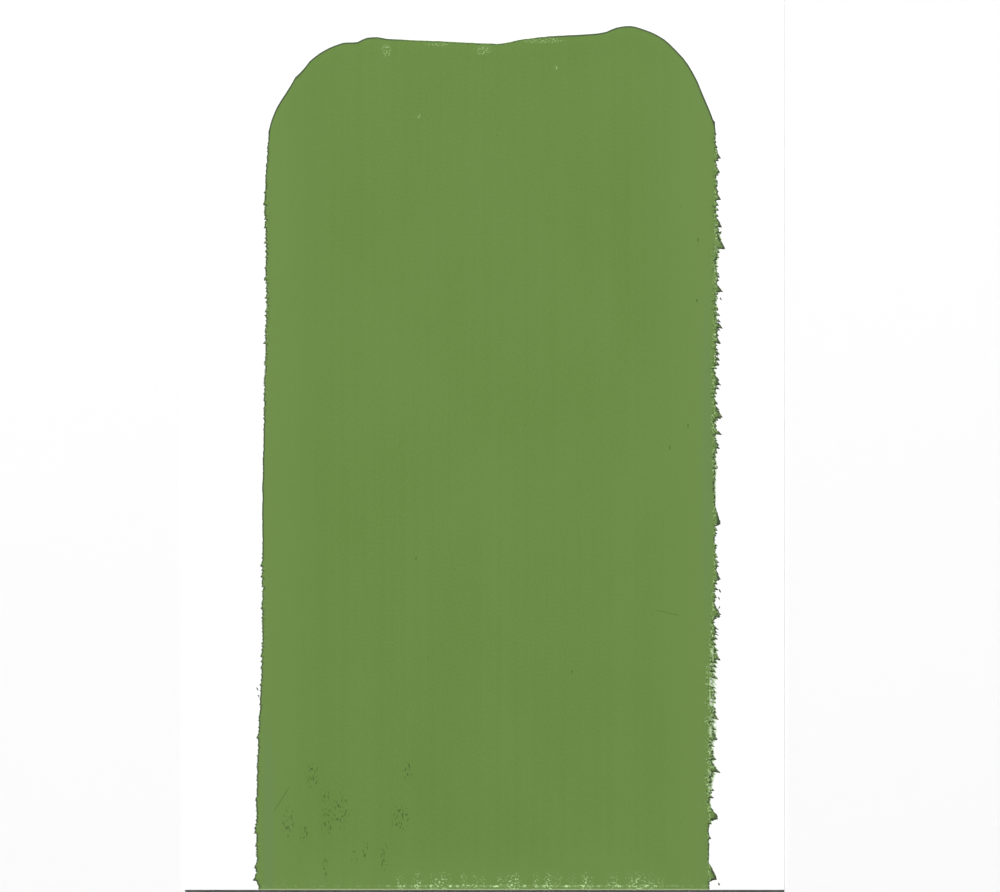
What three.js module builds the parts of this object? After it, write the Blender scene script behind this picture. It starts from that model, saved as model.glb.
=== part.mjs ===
// A paint drawdown card: one film of green paint, drawn down a sealed white card with a straight bar
// and trimmed with the card. Millimetres. The card lies face up on z = 0, centred on the origin; +y
// points back to where the draw began, and the paint was pulled towards -y.
import * as THREE from 'three'

// Card
const CARD_WIDTH = 101.6
const CARD_LENGTH = 152.4
const CORE_THICKNESS = 0.4
const SEAL_THICKNESS = 0.03

// Paint
const FILM_THICKNESS = 0.2
const FLECK_HEIGHT = 0.12
const FLECK_SIDES = 14
const FLECK_RINGS = 4
const START_CURVE_STEPS = 64
const SIDE_CURVE_STEPS = 30
const TOOTH_RISE = 1.2
const TOOTH_RETURN = 0.25

const CARD_FACE = CORE_THICKNESS + SEAL_THICKNESS
const CUT_END = -CARD_LENGTH / 2

// Finishes
const finish = (color, roughness) => new THREE.MeshStandardMaterial({ color, roughness, metalness: 0 })
const boardFinish = finish(0xf1efe8, 0.85)
const sealFinish = finish(0xfbfbf9, 0.45)
const paintFinish = finish(0x6d8c48, 0.55)

const drawdown = new THREE.Group()

function addPiece(name, geometry, material) {
  const piece = new THREE.Mesh(geometry, material)
  piece.name = name
  drawdown.add(piece)
  return piece
}

// The card: a paperboard core and the sealed white coat that stops the paint soaking in.
function addSheet(name, thickness, bottom, material) {
  const sheet = new THREE.BoxGeometry(CARD_WIDTH, CARD_LENGTH, thickness)
  addPiece(name, sheet, material).position.z = bottom + thickness / 2
}
addSheet('card_core', CORE_THICKNESS, 0, boardFinish)
addSheet('card_seal_coat', SEAL_THICKNESS, CORE_THICKNESS, sealFinish)

// The film's outline. The start of the draw is a wide arch with a dip between two low crowns, where
// the puddle of paint ran out ahead of the bar.
const START_OF_DRAW = [
  [-36.9, 52.3], [-36.2, 54.1], [-33.4, 59.1], [-29.5, 64.2], [-25.0, 66.9], [-21.9, 67.3],
  [-18.3, 68.2], [-7.6, 67.5], [2.4, 67.1], [10.5, 68.3], [18.9, 68.8], [24.5, 70.1],
  [30.2, 68.0], [34.9, 62.5], [36.6, 59.4], [38.9, 53.8],
]
// The mean line of each long side, from the start of the draw down to the cut.
const LEFT_SIDE = [
  [-36.9, 52.3], [-37.1, 25.0], [-37.4, 6.8], [-37.7, -11.5], [-37.7, -29.8], [-38.6, -48.1],
  [-38.8, -66.5], [-38.4, CUT_END],
]
const RIGHT_SIDE = [
  [38.9, 53.8], [39.1, 25.0], [38.7, 6.8], [38.8, -20.7], [38.4, -39.0], [38.2, -48.1],
  [37.9, -66.5], [37.9, CUT_END],
]
// The larger teeth of each ragged side: how far along the draw the tip is, and how far it reaches out.
const LEFT_TEETH = [
  [39.6, 0.6], [-23.3, 0.4], [-36.7, 0.3], [-50.5, 0.4], [-60.6, 0.3], [-74.5, 0.7],
]
const RIGHT_TEETH = [
  [47.6, 0.8], [45.1, 0.8], [40.0, 0.7], [32.2, 1.1], [17.0, 0.7], [3.0, 0.9], [-0.2, 0.8],
  [-14.2, 0.9], [-23.6, 0.8], [-29.8, 1.1], [-37.2, 1.2], [-50.3, 0.9], [-56.4, 1.7],
  [-64.1, 1.7], [-74.0, 1.2],
]

function smoothCurve(points) {
  return new THREE.CatmullRomCurve3(points.map(([x, y]) => new THREE.Vector3(x, y, 0)), false, 'centripetal')
}

// One long side as a list of points from top to bottom: its mean line, with each tooth growing
// slowly down the draw to its tip and then falling straight back. outward is -1 or 1.
function raggedSide(points, teeth, outward) {
  const line = smoothCurve(points).getPoints(SIDE_CURVE_STEPS)
  const lineAt = y => {
    const i = Math.max(1, line.findIndex(p => p.y <= y))
    const share = (line[i - 1].y - y) / (line[i - 1].y - line[i].y)
    return THREE.MathUtils.lerp(line[i - 1].x, line[i].x, share)
  }
  const inTooth = y => teeth.some(([tip]) => y < tip + TOOTH_RISE + 0.05 && y > tip - TOOTH_RETURN - 0.05)
  const side = line.filter(p => !inTooth(p.y)).map(p => new THREE.Vector2(p.x, p.y))
  for (const [tip, reach] of teeth) {
    side.push(new THREE.Vector2(lineAt(tip + TOOTH_RISE), tip + TOOTH_RISE))
    side.push(new THREE.Vector2(lineAt(tip) + outward * reach, tip))
    side.push(new THREE.Vector2(lineAt(tip - TOOTH_RETURN), tip - TOOTH_RETURN))
  }
  return side.sort((a, b) => b.y - a.y)
}

const start = smoothCurve(START_OF_DRAW).getPoints(START_CURVE_STEPS).map(p => new THREE.Vector2(p.x, p.y))
const left = raggedSide(LEFT_SIDE, LEFT_TEETH, -1)
const right = raggedSide(RIGHT_SIDE, RIGHT_TEETH, 1)
const outline = new THREE.Shape([...left.slice(1).reverse(), ...start, ...right.slice(1)])
const film = new THREE.ExtrudeGeometry(outline, { depth: FILM_THICKNESS, bevelEnabled: false })
addPiece('paint_film', film, paintFinish).position.z = CARD_FACE

// Flecks of the same paint that dried beside the film: low oval drops on the card's face.
const FLECKS = {
  right: [
    { at: [40.0, 35.2], half: [0.24, 0.34], turn: -25 },
    { at: [40.05, 24.0], half: [0.22, 0.28], turn: 15 },
    { at: [39.4, -4.5], half: [0.22, 0.3], turn: -10 },
    { at: [39.35, -21.0], half: [0.18, 0.34], turn: 20 },
    { at: [39.9, -25.5], half: [0.24, 0.3], turn: -35 },
    { at: [39.75, -26.75], half: [0.2, 0.26], turn: 30 },
    { at: [39.8, -28.3], half: [0.2, 0.24], turn: 0 },
    { at: [39.75, -75.2], half: [0.2, 0.32], turn: 40 },
  ],
  left: [
    { at: [-38.5, -42.1], half: [0.2, 0.3], turn: -30 },
    { at: [-38.3, -43.3], half: [0.18, 0.24], turn: 20 },
  ],
}

function dropShape([halfWide, halfLong]) {
  const profile = [new THREE.Vector2(0, 0)]
  for (let ring = 0; ring <= FLECK_RINGS; ring++) {
    const rise = (ring / FLECK_RINGS) * (Math.PI / 2)
    const radius = ring === FLECK_RINGS ? 0 : Math.cos(rise)
    profile.push(new THREE.Vector2(radius, FLECK_HEIGHT * Math.sin(rise)))
  }
  return new THREE.LatheGeometry(profile, FLECK_SIDES).rotateX(Math.PI / 2).scale(halfWide, halfLong, 1)
}

for (const [side, drops] of Object.entries(FLECKS)) {
  drops.forEach(({ at: [x, y], half, turn }, i) => {
    const fleck = addPiece(`paint_fleck_${side}_${i + 1}`, dropShape(half), paintFinish)
    fleck.position.set(x, y, CARD_FACE)
    fleck.rotation.z = THREE.MathUtils.degToRad(turn)
  })
}

export default drawdown
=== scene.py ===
"""A paint drawdown card: one film of green paint drawn down a sealed white card.

The card lies face up. +Y points back to where the draw began, and the bar came towards -Y. The film
is one mesh: a grid fitted between two ragged sides and an arched start, with a rounded rim, and cut
off flush with the card at the near end.
"""

import math
import random

import bmesh
import bpy
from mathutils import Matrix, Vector, noise


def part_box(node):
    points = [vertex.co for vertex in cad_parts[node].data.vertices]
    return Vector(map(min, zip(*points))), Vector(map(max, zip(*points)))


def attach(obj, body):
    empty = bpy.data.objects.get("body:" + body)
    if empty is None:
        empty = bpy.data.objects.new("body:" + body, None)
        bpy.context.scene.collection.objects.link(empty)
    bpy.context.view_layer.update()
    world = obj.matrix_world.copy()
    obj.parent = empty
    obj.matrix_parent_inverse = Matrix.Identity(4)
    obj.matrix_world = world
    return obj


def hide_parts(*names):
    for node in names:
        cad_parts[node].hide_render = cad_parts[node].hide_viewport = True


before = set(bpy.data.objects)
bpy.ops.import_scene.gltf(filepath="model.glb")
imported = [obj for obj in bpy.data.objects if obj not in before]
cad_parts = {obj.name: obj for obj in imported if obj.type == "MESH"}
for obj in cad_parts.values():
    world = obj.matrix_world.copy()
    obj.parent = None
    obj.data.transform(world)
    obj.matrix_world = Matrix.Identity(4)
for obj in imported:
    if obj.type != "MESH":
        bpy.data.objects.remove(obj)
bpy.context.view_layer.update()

MM = 0.001

# The card's face, and the film's cut end and thickness, from the frame.
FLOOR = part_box("card_core")[0][2]
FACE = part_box("card_seal_coat")[1][2]
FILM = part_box("paint_film")
CUT_END = FILM[0][1]
FILM_THICKNESS = FILM[1][2] - FILM[0][2]


# ---------------------------------------------------------------- outline of the film, in millimetres

# The start of the draw, left to right: a wide arch with a dip between two low crowns.
START_OF_DRAW = [
    (-36.6, 52.45), (-36.1, 54.35), (-33.4, 59.35), (-29.5, 64.35), (-27.2, 66.05), (-25.0, 67.05),
    (-23.5, 67.45), (-21.9, 67.45), (-19.9, 68.25), (-18.3, 68.35), (-16.2, 68.05), (-7.6, 67.65),
    (2.4, 67.25), (6.3, 67.95), (10.5, 68.45), (18.9, 68.95), (20.6, 69.25), (22.3, 69.95),
    (24.5, 70.25), (27.3, 69.55), (30.2, 68.15), (33.0, 65.55), (34.2, 64.15), (36.2, 60.65),
    (37.2, 58.15), (38.2, 55.85), (38.9, 53.95),
]
# How far across each long side lies, from the cut end up: the foot of the teeth.
LEFT_SIDE = [
    (-76.2, -38.3), (-66.5, -38.65), (-57.0, -38.5), (-48.1, -38.2), (-39.0, -37.75), (-29.8, -37.55),
    (-11.5, -37.65), (6.8, -37.3), (25.0, -36.9), (43.0, -37.1), (48.0, -36.9), (52.3, -36.6),
]
RIGHT_SIDE = [
    (-76.2, 38.0), (-66.5, 38.0), (-57.0, 38.05), (-48.1, 38.25), (-39.0, 38.4), (-29.8, 38.6),
    (-20.7, 39.0), (-9.0, 38.9), (6.8, 38.75), (25.0, 39.1), (43.0, 39.2), (53.8, 39.05),
]
# Teeth that stand out singly: how far along the tip is, its reach, how long it takes to rise, and how
# hooked it is (1 is a straight wedge).
LEFT_TEETH = [
    (39.9, 0.35, 1.0, 1.6), (27.3, 0.35, 0.8, 1.4), (18.3, 0.3, 1.2, 1.6), (-21.2, 0.3, 0.5, 1.2),
    (-23.2, 0.4, 0.8, 1.5), (-28.6, 0.4, 0.9, 1.5), (-36.7, 0.35, 0.8, 1.3), (-50.5, 0.35, 0.8, 1.5),
    (-66.6, 0.3, 0.7, 1.4), (-72.5, 0.45, 1.0, 1.3), (-74.6, 0.8, 2.2, 1.6),
]
RIGHT_TEETH = [
    (47.8, 0.8, 1.4, 1.8), (45.2, 0.8, 1.2, 1.8), (40.8, 0.75, 1.4, 1.8), (36.1, 1.0, 1.6, 1.8),
    (32.4, 1.5, 2.8, 1.8), (25.2, 1.0, 1.2, 1.4), (19.1, 1.0, 1.0, 1.4), (16.4, 1.1, 1.2, 1.5),
    (9.5, 0.9, 1.0, 1.5), (3.7, 1.3, 2.4, 1.3), (1.0, 1.2, 1.0, 1.5), (-14.2, 0.95, 3.3, 1.1),
    (-23.6, 0.9, 1.7, 1.1), (-29.8, 1.25, 1.9, 1.0), (-37.2, 1.2, 2.4, 1.3), (-43.9, 0.9, 1.0, 1.5),
    (-47.2, 1.2, 1.4, 1.5), (-50.6, 0.95, 1.4, 1.3), (-54.1, 1.1, 0.9, 1.4), (-56.3, 1.7, 1.5, 1.5),
    (-64.1, 1.5, 1.6, 1.1), (-67.5, 0.35, 0.5, 1.5), (-74.3, 1.3, 2.2, 0.8),
]
# How rough the sides are between those teeth, along the draw: 1 is the roughest.
LEFT_ROUGHNESS = [
    (-76.2, 0.6), (-60.0, 0.5), (-45.0, 0.45), (-36.0, 0.6), (-22.0, 0.7), (-18.0, 0.1), (0.0, 0.12),
    (5.0, 0.6), (20.0, 0.8), (40.0, 0.6), (50.0, 0.35), (52.3, 0.1),
]
RIGHT_ROUGHNESS = [
    (-76.2, 0.5), (-73.0, 0.12), (-67.0, 0.12), (-64.5, 0.5), (-60.0, 0.9), (-40.0, 1.0), (-30.0, 0.9),
    (-17.0, 0.6), (-13.0, 0.25), (-8.0, 0.2), (-4.0, 0.7), (3.0, 1.0), (20.0, 1.0), (30.0, 0.7),
    (44.0, 0.55), (51.0, 0.4), (53.8, 0.1),
]
# Width of the thin smear of paint that the bar left outside each side.
LEFT_SMEAR = [
    (-76.2, 0.15), (-60.0, 0.1), (-33.0, 0.12), (-29.0, 0.25), (-20.0, 0.02), (0.0, 0.02), (6.0, 0.15),
    (25.0, 0.25), (36.0, 0.2), (39.6, 0.5), (43.0, 0.2), (52.3, 0.02),
]
RIGHT_SMEAR = [
    (-76.2, 0.05), (-66.0, 0.05), (-64.4, 0.7), (-61.0, 0.5), (-58.0, 0.9), (-55.6, 1.5), (-53.0, 1.0),
    (-50.0, 1.2), (-48.0, 1.5), (-45.0, 1.1), (-40.0, 1.3), (-34.0, 1.0), (-30.0, 0.5), (-20.0, 0.25),
    (-14.0, 0.08), (-8.0, 0.6), (2.0, 0.8), (5.0, 0.6), (20.0, 0.55), (29.0, 0.45), (31.5, 0.8),
    (34.0, 1.3), (38.0, 0.25), (48.0, 0.2), (53.8, 0.02),
]
# How thin the paint is just inside the right side: 1 lets the card show through in patches.
RIGHT_THINNESS = [
    (-76.2, 0.1), (-65.0, 0.15), (-62.0, 0.4), (-57.0, 0.9), (-52.0, 0.7), (-47.0, 1.0), (-36.0, 0.9),
    (-32.0, 0.3), (-20.0, 0.2), (-10.0, 0.15), (-2.0, 0.4), (20.0, 0.3), (32.0, 0.6), (38.0, 0.2),
    (53.8, 0.0),
]


def smooth_line(points):
    """A smooth curve through the points that never swings past them, as a function."""
    xs = [p[0] for p in points]
    ys = [p[1] for p in points]
    steps = [(ys[i + 1] - ys[i]) / (xs[i + 1] - xs[i]) for i in range(len(xs) - 1)]
    slopes = [steps[0]]
    for before, after in zip(steps, steps[1:]):
        slopes.append(0.0 if before * after <= 0 else 2 * before * after / (before + after))
    slopes.append(steps[-1])

    def at(x):
        x = min(max(x, xs[0]), xs[-1])
        i = max(k for k in range(len(xs) - 1) if xs[k] <= x)
        width = xs[i + 1] - xs[i]
        t = (x - xs[i]) / width
        return (
            ys[i] * (1 + 2 * t) * (1 - t) ** 2
            + slopes[i] * width * t * (1 - t) ** 2
            + ys[i + 1] * t * t * (3 - 2 * t)
            + slopes[i + 1] * width * t * t * (t - 1)
        )

    return at


def between(low, high, value):
    """0 at low, 1 at high and a smooth step between them; low may be the larger."""
    t = min(max((value - low) / (high - low), 0.0), 1.0)
    return t * t * (3 - 2 * t)


class Side:
    """One ragged long side of the film. Millimetres; outward is -1 on the left and 1 on the right."""

    TIP_BLUNTNESS = 1.2  # how soon a tooth comes to its full reach
    STRAIGHTEST_HOOK = 1.2  # a tooth less hooked than this is a wedge
    SHORTEST_FALL = 0.2
    WEDGE_FALL = 0.72  # how far a tooth takes to fall back, for each millimetre of its reach
    HOOK_FALL = 0.22
    LEAN = 0.55  # how far down the draw a tooth leans, for each millimetre of its reach
    LEAN_GROWS_OVER = 3.0  # the lean is nothing at the cut and full this far above it

    def __init__(self, outward, line, teeth, roughness, smear, small_teeth, stand_out, seed):
        self.outward = outward
        self.stand_out = stand_out
        self.line = smooth_line(line)
        self.smear_width = smooth_line(smear)
        self.top = line[-1][0]
        self.seed = seed
        rough = smooth_line(roughness)
        draw = random.Random(seed)
        spacing, low, high = small_teeth
        # The given tips are where the teeth end once they lean.
        teeth = [(tip + self.lean(tip) * reach, reach, rise, hook) for tip, reach, rise, hook in teeth]
        y = line[0][0] + 1.0
        while y < self.top - 1.5:
            reach = draw.uniform(low, high) * rough(y)
            rise = draw.uniform(0.3, 1.0) * spacing
            hook = draw.uniform(1.2, 1.9)
            if reach > 0.05 and all(abs(y - tip) > 0.3 for tip, *_ in teeth):
                teeth.append((y, reach, rise, hook))
            y += draw.uniform(0.45, 1.4) * spacing
        self.teeth = teeth
        self.rough = rough

    def reach(self, y):
        """How far the paint's edge stands out of the side's line at y."""
        out = 0.0
        for tip, reach, rise, hook in self.teeth:
            is_wedge = hook < self.STRAIGHTEST_HOOK
            fall = self.SHORTEST_FALL + reach * (self.WEDGE_FALL if is_wedge else self.HOOK_FALL)
            if tip <= y < tip + rise:
                out = max(out, reach * min(self.TIP_BLUNTNESS * ((tip + rise - y) / rise) ** hook, 1.0))
            elif tip - fall < y < tip:
                out = max(out, reach * (1 - (tip - y) / fall))
        rough = self.rough(y)
        grain = 1.3 * noise.noise(Vector((y * 0.45, self.seed, 0.0)))
        grain += noise.noise(Vector((y * 1.7, self.seed, 0.0)))
        grain += 1.1 * noise.noise(Vector((y * 4.3, 0.0, self.seed)))
        grain += 0.8 * noise.noise(Vector((y * 9.7, 0.0, self.seed)))
        return out + self.stand_out * rough + grain * (0.04 + 0.26 * rough)

    def lean(self, y):
        """How far down the draw a tooth leans for each millimetre of its reach."""
        return self.LEAN * between(CUT_END / MM, CUT_END / MM + self.LEAN_GROWS_OVER, y)


left_side = Side(-1, LEFT_SIDE, LEFT_TEETH, LEFT_ROUGHNESS, LEFT_SMEAR, (0.5, 0.06, 0.42), 0.0, 3)
right_side = Side(1, RIGHT_SIDE, RIGHT_TEETH, RIGHT_ROUGHNESS, RIGHT_SMEAR, (0.78, 0.1, 0.95), 0.15, 8)
start_line = smooth_line(START_OF_DRAW)
right_thinness = smooth_line(RIGHT_THINNESS)


def start_at(x):
    """The far edge of the film at x: a little broken along its dip, and a little lumpy on the left."""
    broken = 0.1 * noise.noise(Vector((x * 2.3, 4.0, 0.0))) * (1 - between(12.0, 20.0, abs(x + 2.0)))
    lumpy = 0.36 * noise.noise(Vector((x * 0.7, 6.0, 0.0))) * between(-25.0, -29.0, x)
    return start_line(x) + broken + lumpy


# ---------------------------------------------------------------- materials


class Wire:
    """A value in a material's nodes. Sums written on wires add Math nodes."""

    def __init__(self, finish, socket):
        self.finish = finish
        self.socket = socket

    def output(self, name):
        return Wire(self.finish, self.socket.node.outputs[name])

    def sum(self, operation, *terms):
        return self.finish.node("ShaderNodeMath", {"operation": operation}, dict(enumerate(terms)))

    def __add__(self, other):
        return self.sum("ADD", self, other)

    def __radd__(self, other):
        return self.sum("ADD", other, self)

    def __sub__(self, other):
        return self.sum("SUBTRACT", self, other)

    def __rsub__(self, other):
        return self.sum("SUBTRACT", other, self)

    def __mul__(self, other):
        return self.sum("MULTIPLY", self, other)

    def __rmul__(self, other):
        return self.sum("MULTIPLY", other, self)

    def __truediv__(self, other):
        return self.sum("DIVIDE", self, other)

    def __abs__(self):
        return self.sum("ABSOLUTE", self)

    def at_least(self, other):
        return self.sum("MAXIMUM", self, other)

    def step(self, low, high):
        """0 at low and 1 at high, smoothly; low may be the larger."""
        settings = {"interpolation_type": "SMOOTHSTEP"}
        values = {"Value": self, "From Min": low, "From Max": high}
        return self.finish.node("ShaderNodeMapRange", settings, values)


class Finish:
    """A Principled material, built up from nodes."""

    def __init__(self, name, **constants):
        self.material = bpy.data.materials.new(name)
        self.material.use_nodes = True
        self.nodes = self.material.node_tree.nodes
        self.links = self.material.node_tree.links
        self.shader = self.nodes["Principled BSDF"]
        for socket, value in constants.items():
            self.shader.inputs[socket.replace("_", " ")].default_value = value
        self.place = self.node("ShaderNodeTexCoord", output="Object")
        self.along = self.node("ShaderNodeSeparateXYZ", values={0: self.place})

    def node(self, kind, settings=None, values=None, output=0):
        node = self.nodes.new(kind)
        for name, value in (settings or {}).items():
            setattr(node, name, value)
        for name, value in (values or {}).items():
            if isinstance(value, Wire):
                self.links.new(value.socket, node.inputs[name])
            else:
                node.inputs[name].default_value = value
        return Wire(self, node.outputs[output])

    def feed(self, socket, wire):
        self.links.new(wire.socket, self.shader.inputs[socket])

    def vector(self, operation, first, second, output=0):
        return self.node("ShaderNodeVectorMath", {"operation": operation}, {0: first, 1: second}, output)

    def stretched(self, scale):
        return self.vector("MULTIPLY", self.place, scale)

    def noise(self, where, detail=2.0, roughness=0.5):
        values = {"Vector": where, "Scale": 1.0, "Detail": detail, "Roughness": roughness}
        return self.node("ShaderNodeTexNoise", values=values)

    def blend(self, factor, first, second):
        settings = {"data_type": "RGBA", "clamp_factor": True}
        return self.node("ShaderNodeMix", settings, {0: factor, 6: first, 7: second}, 2)

    def bump(self, height, distance, strength):
        values = {"Height": height, "Distance": distance, "Strength": strength}
        return self.node("ShaderNodeBump", values=values)

    def attribute(self, name):
        return self.node("ShaderNodeAttribute", {"attribute_name": name}, output="Fac")

    def specks(self, scale, reach, share):
        """Small spots: a share of the cells hold one, of a radius up to reach of a cell."""
        cell = self.node("ShaderNodeTexVoronoi", values={"Vector": self.stretched(scale), "Scale": 1.0})
        chance = self.node("ShaderNodeSeparateColor", values={0: cell.output("Color")})
        picked = chance.step(1 - share, 1 - share * 0.6)
        size = 0.45 + 0.55 * chance.output("Green")
        return picked * (cell / size).step(reach, reach * 0.45)

    def patch(self, centre, radius):
        """1 inside a soft oval about centre, in millimetres, and 0 outside it."""
        away = self.vector("SUBTRACT", self.place, (centre[0] * MM, centre[1] * MM, FACE))
        scaled = self.vector("DIVIDE", away, (radius[0] * MM, radius[1] * MM, 1.0))
        return self.vector("LENGTH", scaled, (0, 0, 0), "Value").step(1.0, 0.45)

    def hair(self, start, end, width):
        """1 on a fine straight line between two points, in millimetres."""
        line = Vector(end) - Vector(start)
        unit = line.normalized()
        away = self.vector("SUBTRACT", self.place, (start[0] * MM, start[1] * MM, FACE))
        along = self.vector("DOT_PRODUCT", away, (unit.x, unit.y, 0), "Value")
        across = self.vector("DOT_PRODUCT", away, (-unit.y, unit.x, 0), "Value")
        middle = line.length / 2 * MM
        return abs(across).step(width * MM, width * MM / 2) * abs(along - middle).step(middle, middle * 0.8)

    def patches(self, ovals):
        spots = [self.patch(*oval) for oval in ovals]
        total = spots[0]
        for spot in spots[1:]:
            total = total.at_least(spot)
        return total


def tone(red, green, blue):
    return (red, green, blue, 1.0)


PAINT = tone(0.13, 0.2245, 0.0523)
PAINT_DEEP = tone(0.1155, 0.207, 0.0435)
PAINT_LIGHT = tone(0.1335, 0.2235, 0.0565)
# Painted sheen: the paler, cooler colour of light reflected off the ridges inside the sides.
PAINT_SHEEN = tone(0.125, 0.216, 0.0755)
# Painted shade: the dark colour laid along the film's rounded edges and teeth tips.
PAINT_RIM_SHADE = tone(0.037, 0.049, 0.033)
PAINT_SPECK = tone(0.03, 0.075, 0.015)
PAINT_THIN = tone(0.52, 0.72, 0.38)
CARD_WHITE = tone(0.94, 0.945, 0.935)
CHIP_PALE = tone(0.6, 0.83, 0.41)
# Painted highlight: the pale line where light catches the cut edge.
CUT_HIGHLIGHT = tone(0.42, 0.5, 0.27)

# Clusters of dark specks, and of pale chips near the start of the draw: centre and radius, in mm.
DARK_CLUSTERS = [
    ((-29.2, -56.8), (1.7, 2.6)), ((-27.0, -60.3), (1.0, 1.4)), ((-26.7, -64.6), (1.3, 3.4)),
    ((-24.3, -62.8), (1.9, 3.6)), ((-14.2, -64.0), (1.9, 3.0)), ((-13.0, -56.0), (1.1, 2.2)),
    ((-20.2, -69.3), (0.7, 2.0)), ((-22.0, -70.6), (0.9, 1.4)), ((-33.2, -65.0), (1.3, 3.6)),
    ((-30.6, -66.6), (0.9, 2.2)), ((-17.0, -70.4), (0.8, 3.4)), ((-27.0, -72.4), (0.6, 2.0)),
]
PALE_CLUSTERS = [
    ((-16.6, 66.1), (1.0, 1.5)), ((-0.2, 66.2), (1.7, 1.1)), ((9.8, 67.8), (4.4, 0.7)),
    ((-11.2, 54.9), (0.6, 0.6)), ((12.1, 63.2), (0.45, 0.5)), ((-8.0, 67.1), (2.6, 0.35)),
]
SINGLE_SPECKS = [
    ((14.8, -39.2), (0.14, 0.4)), ((-11.6, -20.0), (0.16, 0.3)), ((36.0, 23.7), (0.16, 0.4)),
    ((36.2, 34.0), (0.16, 0.4)), ((31.4, -1.2), (0.14, 0.5)), ((34.5, 2.5), (0.14, 0.4)),
]


def dark_marks(finish):
    """Specks of pigment, and two hairs caught under the bar."""
    crumbs = finish.noise(finish.stretched((3500, 1300, 0)), 1.0).step(0.54, 0.66)
    specks = crumbs * finish.patches(DARK_CLUSTERS)
    stray = finish.specks((420, 300, 0), 0.07, 0.25)
    single = finish.patches(SINGLE_SPECKS)
    left_hair = finish.hair((-35.7, -62.9), (-33.0, -58.6), 0.1)
    right_hair = finish.hair((28.9, -28.7), (33.1, -29.7), 0.09)
    hairs = left_hair.at_least(right_hair)
    return specks.at_least(stray * 0.6).at_least(single).at_least(hairs * 0.6)


def chips_at_cut(finish, x, y, crumble):
    """Pale chips: a broken row just inside the cut, and a scatter above it."""
    chip_zone = abs(x - 8 * MM).step(27 * MM, 18 * MM)
    row = abs(y - CUT_END - 0.66 * MM).step(0.27 * MM, 0.1 * MM)
    broken = crumble.step(0.42, 0.54)
    dashes = finish.noise(finish.stretched((820, 0, 0)), 1.0).step(0.46, 0.6)
    clumps = finish.noise(finish.stretched((330, 0, 0)), 2.0).step(0.43, 0.6)
    scatter = (y - CUT_END).step(3.7 * MM, 0.9 * MM) * crumble.step(0.535, 0.635) * clumps * 0.75
    return (row * broken * (0.15 + 0.85 * dashes)).at_least(scatter) * (0.1 + 0.9 * chip_zone)


def chips_at_start(finish):
    """Finer pale chips, in clusters near the start of the film."""
    sparkle = finish.noise(finish.stretched((4300, 3700, 0)), 1.0).step(0.53, 0.64)
    return finish.patches(PALE_CLUSTERS) * sparkle * 0.42


def make_paint():
    finish = Finish("green_paint", Specular_IOR_Level=0.15)
    x = finish.along
    y = finish.along.output("Y")
    # The rim attribute is painted shade along the film's rounded edges, teeth tips and smear edge.
    rim = finish.attribute("rim")
    cover = finish.attribute("cover")

    # The body colour: slow clouds, faint lines down the draw and lighter sides, with a painted sheen in
    # cooler strips along the sides.
    clouds = finish.noise(finish.stretched((55, 38, 0)), 3.0)
    draw_lines = finish.noise(finish.stretched((900, 9, 0)), 2.0)
    grain = finish.noise(finish.stretched((2600, 2200, 0)), 1.0)
    body = (clouds - 0.5) * 1.4 + (draw_lines - 0.5) * 1.0 + (grain - 0.5) * 1.8 + 0.5
    colour = finish.blend(body, PAINT_DEEP, PAINT)
    near_side = abs(x).step(26 * MM, 39 * MM)
    near_cut = y.step(-66 * MM, -76 * MM)
    colour = finish.blend(near_side.at_least(near_cut * 0.7), colour, PAINT_LIGHT)

    # Painted sheen: two strips where light reflects off the raised ridge just inside each side.
    sheen_strips = finish.patches([((37.7, -3.0), (1.1, 36.0)), ((-36.6, -66.0), (1.2, 22.0))])
    colour = finish.blend(sheen_strips * 0.5, colour, PAINT_SHEEN)

    colour = finish.blend(dark_marks(finish) * 0.65, colour, PAINT_SPECK)
    crumble = finish.noise(finish.stretched((2700, 3300, 0)), 2.0)
    chips = chips_at_cut(finish, x, y, crumble)
    colour = finish.blend(chips.at_least(chips_at_start(finish)) * 0.85, colour, CHIP_PALE)

    # Painted shade on the rim, broken along the dip of the start, and a painted highlight along the cut end.
    dip = finish.patch((-2.0, 67.6), (19.0, 2.2))
    colour = finish.blend(rim * (0.9 - 0.6 * dip * crumble.step(0.44, 0.52)), colour, PAINT_RIM_SHADE)
    # Painted highlight: a pale line along the cut end, where light catches the cut edge.
    cut_highlight = (y - CUT_END).step(0.22 * MM, 0.12 * MM)
    colour = finish.blend(cut_highlight * 0.8, colour, CUT_HIGHLIGHT)

    # Thin paint along the sides, with the card showing through.
    worn = 1 - cover
    mottle = finish.noise(finish.stretched((3600, 2700, 0)), 2.0, 0.6)
    pale_spots = mottle.step(0.51, 0.64) * worn.step(0.1, 0.5)
    dark_spots = mottle.step(0.47, 0.36) * worn.step(0.0, 0.3)
    colour = finish.blend((pale_spots * 0.8).at_least(worn.step(0.4, 0.9) * 0.7), colour, PAINT_THIN)
    colour = finish.blend(dark_spots * 0.5, colour, PAINT_SPECK)
    paint_left = (cover + (mottle - 0.5) * 0.9).step(0.1, 0.42)
    finish.feed("Base Color", finish.blend(paint_left, CARD_WHITE, colour))

    finish.feed("Roughness", 0.56 + 0.1 * clouds + 0.06 * draw_lines + 0.25 * rim)
    relief = (draw_lines - 0.5) * 0.6 + (clouds - 0.5) * 2.0 + (grain - 0.5) * 0.25 - chips * 0.8
    finish.feed("Normal", finish.bump(relief, 0.02 * MM, 0.5))
    return finish.material


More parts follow.
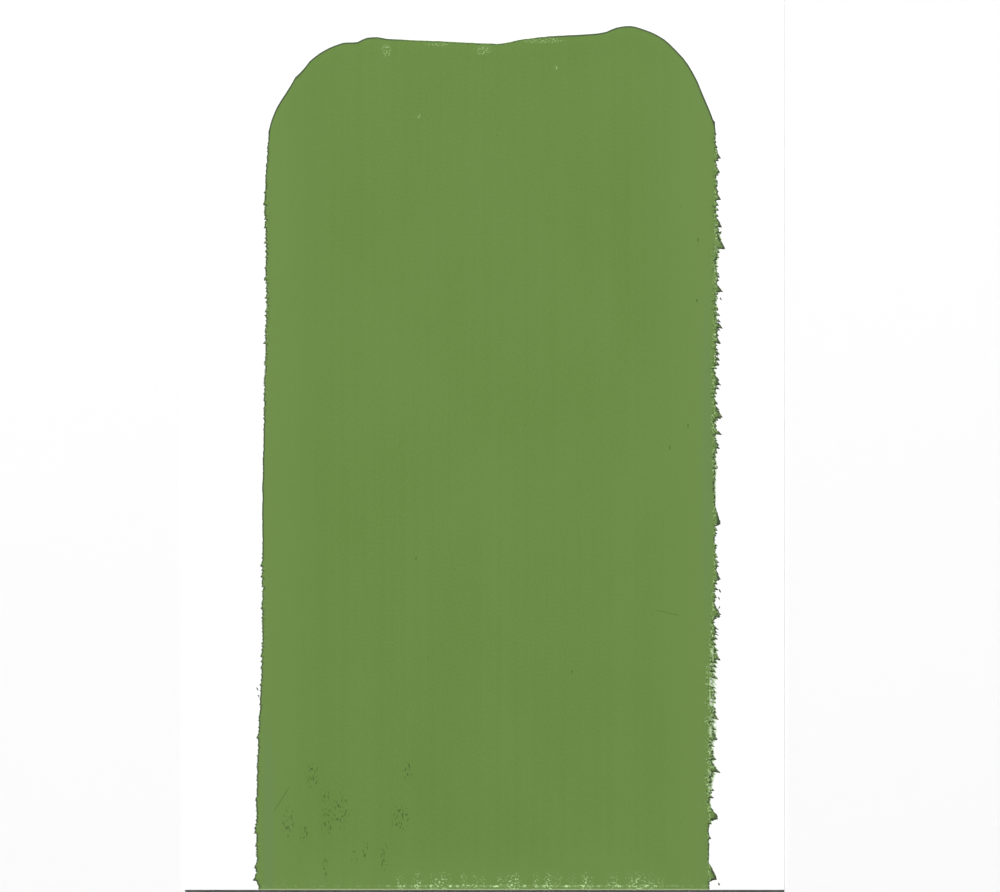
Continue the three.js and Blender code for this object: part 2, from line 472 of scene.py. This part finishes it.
def make_seal():
    finish = Finish("card_seal", Roughness=0.4)
    haze = finish.noise(finish.stretched((40, 40, 40)), 2.0)
    tooth = finish.noise(finish.stretched((1900, 1500, 900)), 3.0)
    colour = finish.blend(haze, tone(0.93, 0.935, 0.93), tone(0.95, 0.952, 0.945))
    finish.feed("Base Color", colour)
    finish.feed("Roughness", 0.34 + 0.14 * tooth)
    finish.feed("Normal", finish.bump(tooth, 0.006 * MM, 0.6))
    return finish.material


def make_board():
    finish = Finish("card_board", Roughness=0.85)
    z = finish.along.output("Z")
    fibres = finish.noise(finish.stretched((260, 1500, 4000)), 4.0, 0.65)
    flecks = finish.specks((900, 700, 9000), 0.25, 0.12)
    plies = finish.noise(finish.node("ShaderNodeCombineXYZ", values={2: z * 26000}), 1.0)
    shade = fibres * 0.6 + plies * 0.4
    colour = finish.blend(shade, tone(0.72, 0.705, 0.66), tone(0.9, 0.89, 0.86))
    finish.feed("Base Color", finish.blend(flecks * 0.35, colour, tone(0.45, 0.42, 0.36)))
    finish.feed("Roughness", 0.78 + 0.14 * fibres)
    finish.feed("Normal", finish.bump(fibres + plies * 0.5, 0.03 * MM, 0.7))
    return finish.material


def make_floor():
    finish = Finish("studio_floor", Roughness=0.9)
    soft = finish.noise(finish.stretched((3, 3, 3)), 1.0)
    finish.feed("Base Color", finish.blend(soft, tone(0.832, 0.832, 0.832), tone(0.844, 0.844, 0.844)))
    return finish.material


paint = make_paint()
seal = make_seal()
board = make_board()


# ---------------------------------------------------------------- pieces


def add_piece(name, shape, material, node):
    """Turn a finished bmesh into a piece that rides the card and stands for one CAD node."""
    mesh = bpy.data.meshes.new(name)
    shape.to_mesh(mesh)
    shape.free()
    mesh.materials.append(material)
    piece = bpy.data.objects.new(name, mesh)
    bpy.context.scene.collection.objects.link(piece)
    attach(piece, "root")
    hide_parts(node)
    return piece


def smooth_shade(piece, sharp_degrees):
    piece.data.shade_smooth()
    piece.data.set_sharp_from_angle(angle=math.radians(sharp_degrees))


def make_sheet(name, node, edge_round, wander, material):
    """A sheet of the card with guillotined edges: softened arrises and sides that are not quite flat."""
    low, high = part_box(node)
    size = [high[i] - low[i] for i in range(3)]
    middle = Vector([(high[i] + low[i]) / 2 for i in range(3)])
    shape = bmesh.new()
    bmesh.ops.create_cube(shape, size=1.0)
    bmesh.ops.scale(shape, vec=size, verts=shape.verts)
    bmesh.ops.translate(shape, vec=middle, verts=shape.verts)
    bmesh.ops.bevel(
        shape, geom=shape.edges[:], offset=edge_round, segments=2, profile=0.5, affect="EDGES", material=-1
    )
    for axis, cuts in ((0, 60), (1, 90)):
        long_edges = [e for e in shape.edges if abs((e.verts[0].co - e.verts[1].co)[axis]) > size[axis] * 0.9]
        bmesh.ops.subdivide_edges(shape, edges=long_edges, cuts=cuts, use_grid_fill=True)
    for vert in shape.verts:
        for axis in (0, 1):
            from_middle = vert.co[axis] - middle[axis]
            if abs(from_middle) > size[axis] / 2 - edge_round * 1.5:
                ripple = noise.noise(Vector((vert.co[1 - axis] * 900, vert.co.z * 9000, axis * 7.0)))
                vert.co[axis] -= math.copysign(wander * (0.5 + 0.5 * ripple), from_middle)
    piece = add_piece(name, shape, material, node)
    smooth_shade(piece, 20)


make_sheet("card_core_sheet", "card_core", 0.05 * MM, 0.03 * MM, board)
make_sheet("card_seal_sheet", "card_seal_coat", 0.012 * MM, 0.02 * MM, seal)


# Distances in from a side, or from the start, at which the film's grid has a line, in millimetres.
RIM_LINES = (0.0, 0.04, 0.09, 0.15, 0.22, 0.32, 0.45, 0.65, 0.95, 1.4, 2.1)
# The same up from the cut end, and as shares of the smear's width.
CUT_LINES = (0.0, 0.03, 0.08, 0.14)
SMEAR_LINES = (1.0, 0.66, 0.33)
MIDDLE_LINES = 88
# The length of a row, and how many times it is cut into finer ones along the two sides.
ROW_STEP = 0.9
ROW_CUTS = 11
SIDE_LENGTH = START_OF_DRAW[-1][1] - CUT_END / MM
# How deep into the film the sides' raggedness is felt, and how far in the grid runs calm again.
TOOTH_DEPTH = 1.0
CALM_INSET = RIM_LINES[-1]
# The radius of the film's rounded rim where the side is calm and where it is ragged.
RIM_RADIUS = 0.3
RAGGED_RADIUS = 0.75
# The film's usual height, as a share of its greatest thickness.
FILM_LEVEL = 0.84
# Where the rim's painted shade starts to fade and where it ends, in from the start and in from a side.
START_RIM_SHADE = (0.16, 0.36)
SIDE_RIM_SHADE = (0.1, 0.3)
# How far out of the side's line a tooth starts to take painted shade, and where that painted shade is
# darkest.
TIP_RIM_SHADE = (0.2, 0.5)
# The smear outside the sides: its least width, which counts as none, and its thin and thick edge.
NO_SMEAR = 0.03
SMEAR_THIN = 0.004
SMEAR_THICK = 0.034


def film_columns():
    """Each line of the grid across the film: which side it hangs from, and its distance in."""
    edge = [(share, "smear") for share in SMEAR_LINES] + [(d, "paint") for d in RIM_LINES]
    middle = [(i / MIDDLE_LINES, "middle") for i in range(1, MIDDLE_LINES)]
    left = [(left_side, *line) for line in edge]
    right = [(right_side, *line) for line in reversed(edge)]
    return left + [(None, *line) for line in middle] + right


def film_rows():
    """Each line of the grid along the film, as a share of the way from the cut to the start."""
    near_start = [1 - d / SIDE_LENGTH for d in reversed(RIM_LINES)]
    near_cut = [d / SIDE_LENGTH for d in CUT_LINES]
    between_them = near_start[0] - near_cut[-1]
    count = round(between_them * SIDE_LENGTH / ROW_STEP)
    return near_cut + [near_cut[-1] + between_them * i / count for i in range(1, count)] + near_start


def share_along(lines, place):
    """The value part way through a list of grid lines; place runs from -1 to 1."""
    position = (place + 1) / 2 * (len(lines) - 1)
    i = min(int(position), len(lines) - 2)
    return lines[i] + (lines[i + 1] - lines[i]) * (position - i)


def edge_profile(distance, radius):
    """Height of the rounded rim, as a share of the film's thickness."""
    t = min(max(distance / radius, 0.0), 1.0)
    return math.sqrt(1 - (1 - t) ** 2)


def bead(distance, height, middle, width):
    """A low ridge along an edge, where the paint heaped up; height is a share of the film's thickness."""
    return height * math.exp(-((distance - middle) / width) ** 2)


def film_height(x, y, from_side, from_start, raggedness):
    """Thickness of the paint in millimetres."""
    full = FILM_THICKNESS / MM
    radius = RIM_RADIUS + (RAGGED_RADIUS - RIM_RADIUS) * raggedness
    rim = min(edge_profile(from_side, radius), edge_profile(from_start, RIM_RADIUS))
    beads = bead(from_start, 0.1, 1.6, 1.3) + bead(from_side, 0.09, 1.5, 0.8)
    slow = 0.035 * noise.noise(Vector((x * 0.09, y * 0.05, 2.0)))
    level = FILM_LEVEL + beads + slow
    cut = edge_profile(y - CUT_END / MM + 0.04, 0.1)
    return full * rim * level * (0.75 + 0.25 * cut)


def calm_point(column, row):
    """A grid point before its side is made ragged: place in mm, and distances to side and start."""
    side, distance, kind = column
    row_y = CUT_END / MM + row * SIDE_LENGTH
    left_x = left_side.line(min(row_y, left_side.top))
    right_x = right_side.line(min(row_y, right_side.top))
    if side is None:
        x = left_x + CALM_INSET + (right_x - left_x - 2 * CALM_INSET) * distance
        from_side = min(x - left_x, right_x - x)
    else:
        from_side = distance if kind == "paint" else 0.0
        x = (left_x if side is left_side else right_x) - side.outward * from_side
    far = start_at(x)
    y = CUT_END / MM + row * (far - CUT_END / MM)
    slope = (start_line(x + 0.05) - start_line(x - 0.05)) / 0.1
    from_start = (far - y) / math.hypot(1.0, slope)
    return x, y, from_side, from_start


def wear(side, y, gap, tip):
    """How worn the paint is: gap is how far in from the edge, and tip how far out of the side's line."""
    worn = 0.32 * side.rough(y) * (1 - between(0.2, 1.0, gap))
    if side is left_side:
        return worn
    thinness = right_thinness(y)
    patchy = between(-0.25, 0.25, noise.noise(Vector((y * 0.6, 9.0, 0.0))))
    bare = between(-0.5, -0.05, tip) * between(0.6, 0.3, tip)
    worn = max(worn, 0.42 * thinness * (1 - between(0.6, 1.6, gap)))
    return max(worn, (0.3 + 0.4 * thinness * patchy) * bare)


def film_point(column, row):
    """A finished grid point: place, how much painted rim shade it takes, and how fully the paint covers."""
    side, distance, kind = column
    x, y, from_side, from_start = calm_point(column, row)
    # Painted shade along the rounded edge at the start of the draw.
    rim = 1 - between(*START_RIM_SHADE, from_start)
    cover = 1.0
    height = film_height(x, y, from_side, from_start, 0.0)
    if side:
        ends = between(side.top + 0.3, side.top - 1.5, y)
        reach = side.reach(y) * ends
        fade = max(1 - from_side / TOOTH_DEPTH, 0.0) ** 1.5
        raggedness = between(0.0, 0.5, side.rough(y)) * ends
        gap = from_side + reach * (1 - fade)
        height = film_height(x, y, from_side, from_start, raggedness)
        out = reach * fade
        tip = out - from_side
        # Painted shade on the teeth: small teeth darken from near the foot; broad ones darken only near the
        # tip.
        heart = 0.6 * between(0.9, 1.5, reach)
        tip_shade = between(TIP_RIM_SHADE[0] + heart, TIP_RIM_SHADE[1] + heart, tip)
        rim = max(rim, 1 - between(*SIDE_RIM_SHADE, gap), 0.9 * tip_shade)
        cover = 1 - wear(side, y, gap, tip) * ends
        if kind == "smear":
            spare = max(side.smear_width(y) * ends - reach, NO_SMEAR)
            out = reach + spare * distance
            height = SMEAR_THIN + (SMEAR_THICK - SMEAR_THIN) * (1 - distance)
            # Painted shade along the outer edge of the smear.
            rim = (1 - distance) * between(0.3, 0.05, spare)
            cover = 0.5 * (1 - distance) if spare > NO_SMEAR + 0.001 else 1.0
        x += side.outward * out
        y = max(y - side.lean(y) * max(out - from_side, 0.0), CUT_END / MM)
    return Vector((x * MM, y * MM, FACE + height * MM)), rim, cover


def make_film():
    columns = film_columns()
    rows = film_rows()
    shape = bmesh.new()
    bmesh.ops.create_grid(shape, x_segments=len(columns) - 1, y_segments=len(rows) - 1, size=1.0)

    # Finer rows along the two ragged sides only.
    def column_of(vert):
        return columns[round((vert.co.x + 1) / 2 * (len(columns) - 1))]

    def is_side_step(edge):
        first, second = edge.verts
        if column_of(first)[0] is None or abs(first.co.x - second.co.x) > 1e-6:
            return False
        step = abs(share_along(rows, first.co.y) - share_along(rows, second.co.y))
        return step * SIDE_LENGTH > ROW_STEP / 2

    steps = [edge for edge in shape.edges if is_side_step(edge)]
    bmesh.ops.subdivide_edges(shape, edges=steps, cuts=ROW_CUTS, use_grid_fill=True)

    # The rim layer holds painted shade for the film's edges; the cover layer holds how fully the paint
    # covers.
    rim_shade_layer = shape.verts.layers.float.new("rim")
    cover_layer = shape.verts.layers.float.new("cover")
    grid_lines = {}
    for vert in shape.verts:
        column = column_of(vert)
        row = share_along(rows, vert.co.y)
        if vert.is_boundary:
            grid_lines[vert] = (column, row)
        vert.co, vert[rim_shade_layer], vert[cover_layer] = film_point(column, row)

    # The underside: a short wall down to the card, a strip in to where the sides run calm, and a fill.
    border = [edge for edge in shape.edges if edge.is_boundary]
    wall = bmesh.ops.extrude_edge_only(shape, edges=border)["geom"]
    foot_lines = {}
    for foot in [item for item in wall if isinstance(item, bmesh.types.BMVert)]:
        above = next(e.other_vert(foot) for e in foot.link_edges if e.other_vert(foot) in grid_lines)
        foot_lines[foot] = grid_lines[above]
        foot.co.z = FACE
    border = [edge for edge in shape.edges if edge.is_boundary]
    strip = bmesh.ops.extrude_edge_only(shape, edges=border)["geom"]
    for vert in [item for item in strip if isinstance(item, bmesh.types.BMVert)]:
        foot = next(e.other_vert(vert) for e in vert.link_edges if e.other_vert(vert) in foot_lines)
        (side, distance, kind), row = foot_lines[foot]
        column = (side, CALM_INSET, "paint") if side and distance < CALM_INSET else (side, distance, kind)
        x, y, _, _ = calm_point(column, row)
        y = min(y, start_at(x) - CALM_INSET)
        vert.co = (x * MM, y * MM, FACE)
    border = [edge for edge in shape.edges if edge.is_boundary]
    bmesh.ops.contextual_create(shape, geom=border)
    bmesh.ops.remove_doubles(shape, verts=shape.verts, dist=0.0005 * MM)
    bmesh.ops.recalc_face_normals(shape, faces=shape.faces)
    piece = add_piece("green_paint_film", shape, paint, "paint_film")
    smooth_shade(piece, 60)


def make_fleck(node, seed):
    """A dried drop: a small leaning dome with an uneven outline, sat on the card's face."""
    low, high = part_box(node)
    size = [high[i] - low[i] for i in range(3)]
    lean = 0.55 if seed % 3 == 0 else -0.5
    shape = bmesh.new()
    bmesh.ops.create_icosphere(shape, subdivisions=4, radius=1.0)
    rim_shade_layer = shape.verts.layers.float.new("rim")
    cover_layer = shape.verts.layers.float.new("cover")
    for vert in shape.verts:
        away = vert.co.copy()
        spread = 0.85 + 0.6 * noise.noise(Vector((away.x * 2.2, away.y * 2.2, seed * 3.1)))
        vert.co.x = (away.x * 0.6 + away.y * lean) * size[0] / 2 * spread
        vert.co.y = away.y * size[1] / 2 * spread
        vert.co.z = max(away.z, 0.0) ** 0.8 * size[2] * (0.85 + 0.15 * spread)
        # Painted shade: the dome's lower, sloping sides take the dark rim colour.
        vert[rim_shade_layer] = 0.7 + 0.3 * between(0.8, 0.2, away.z)
        vert[cover_layer] = 1.0
    middle = Vector([(low[0] + high[0]) / 2, (low[1] + high[1]) / 2, low[2]])
    bmesh.ops.translate(shape, vec=middle, verts=shape.verts)
    bmesh.ops.dissolve_degenerate(shape, dist=0.0001 * MM, edges=shape.edges)
    bmesh.ops.recalc_face_normals(shape, faces=shape.faces)
    piece = add_piece(node.replace("paint_fleck", "dried_fleck"), shape, paint, node)
    smooth_shade(piece, 60)


make_film()
fleck_nodes = sorted(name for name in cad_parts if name.startswith("paint_fleck"))
for number, node in enumerate(fleck_nodes):
    make_fleck(node, number + 1)


# ---------------------------------------------------------------- studio


FLOOR_REACH = 8.0
BACKDROP_STARTS = 5.0
BACKDROP_HEIGHT = 3.0
FLOOR_GAP = 0.01 * MM
AIR_STRENGTH = 0.03


def make_studio():
    """A pale floor that curves up into a backdrop all round, far from the card."""
    shape = bmesh.new()
    bmesh.ops.create_grid(shape, x_segments=80, y_segments=80, size=FLOOR_REACH)
    for vert in shape.verts:
        rise = between(BACKDROP_STARTS, FLOOR_REACH, vert.co.xy.length)
        vert.co.z = FLOOR - FLOOR_GAP + BACKDROP_HEIGHT * rise
    mesh = bpy.data.meshes.new("studio_floor")
    shape.to_mesh(mesh)
    shape.free()
    mesh.shade_smooth()
    mesh.materials.append(make_floor())
    floor = bpy.data.objects.new("studio_floor", mesh)
    bpy.context.scene.collection.objects.link(floor)


def add_softbox(name, place, size, power):
    light = bpy.data.lights.new(name, "AREA")
    light.shape = "DISK"
    light.size = size
    light.energy = power
    lamp = bpy.data.objects.new(name, light)
    lamp.location = place
    lamp.rotation_euler = (-Vector(place)).to_track_quat("-Z", "Y").to_euler()
    bpy.context.scene.collection.objects.link(lamp)


def add_camera():
    """Straight down through a long lens, a little right of the card's middle."""
    lens = 300.0
    sensor = 36.0
    view_width = 169.5 * MM
    camera = bpy.data.cameras.new("camera")
    camera.lens = lens
    camera.sensor_width = sensor
    holder = bpy.data.objects.new("camera", camera)
    holder.location = (2.63 * MM, -0.96 * MM, FACE + view_width * lens / sensor)
    bpy.context.scene.collection.objects.link(holder)
    bpy.context.scene.camera = holder


def add_air():
    """Faint white light from all round."""
    air = bpy.data.worlds.new("studio_air")
    air.use_nodes = True
    air.node_tree.nodes["Background"].inputs["Color"].default_value = (1.0, 1.0, 1.0, 1.0)
    air.node_tree.nodes["Background"].inputs["Strength"].default_value = AIR_STRENGTH
    bpy.context.scene.world = air


make_studio()
add_camera()
add_softbox("key_softbox", place=(-0.5, 4.4, 3.8), size=1.0, power=566.0)
add_softbox("fill_softbox", place=(1.6, -1.0, 2.0), size=1.2, power=0.6)
add_air()
bpy.context.scene.view_settings.view_transform = "Standard"
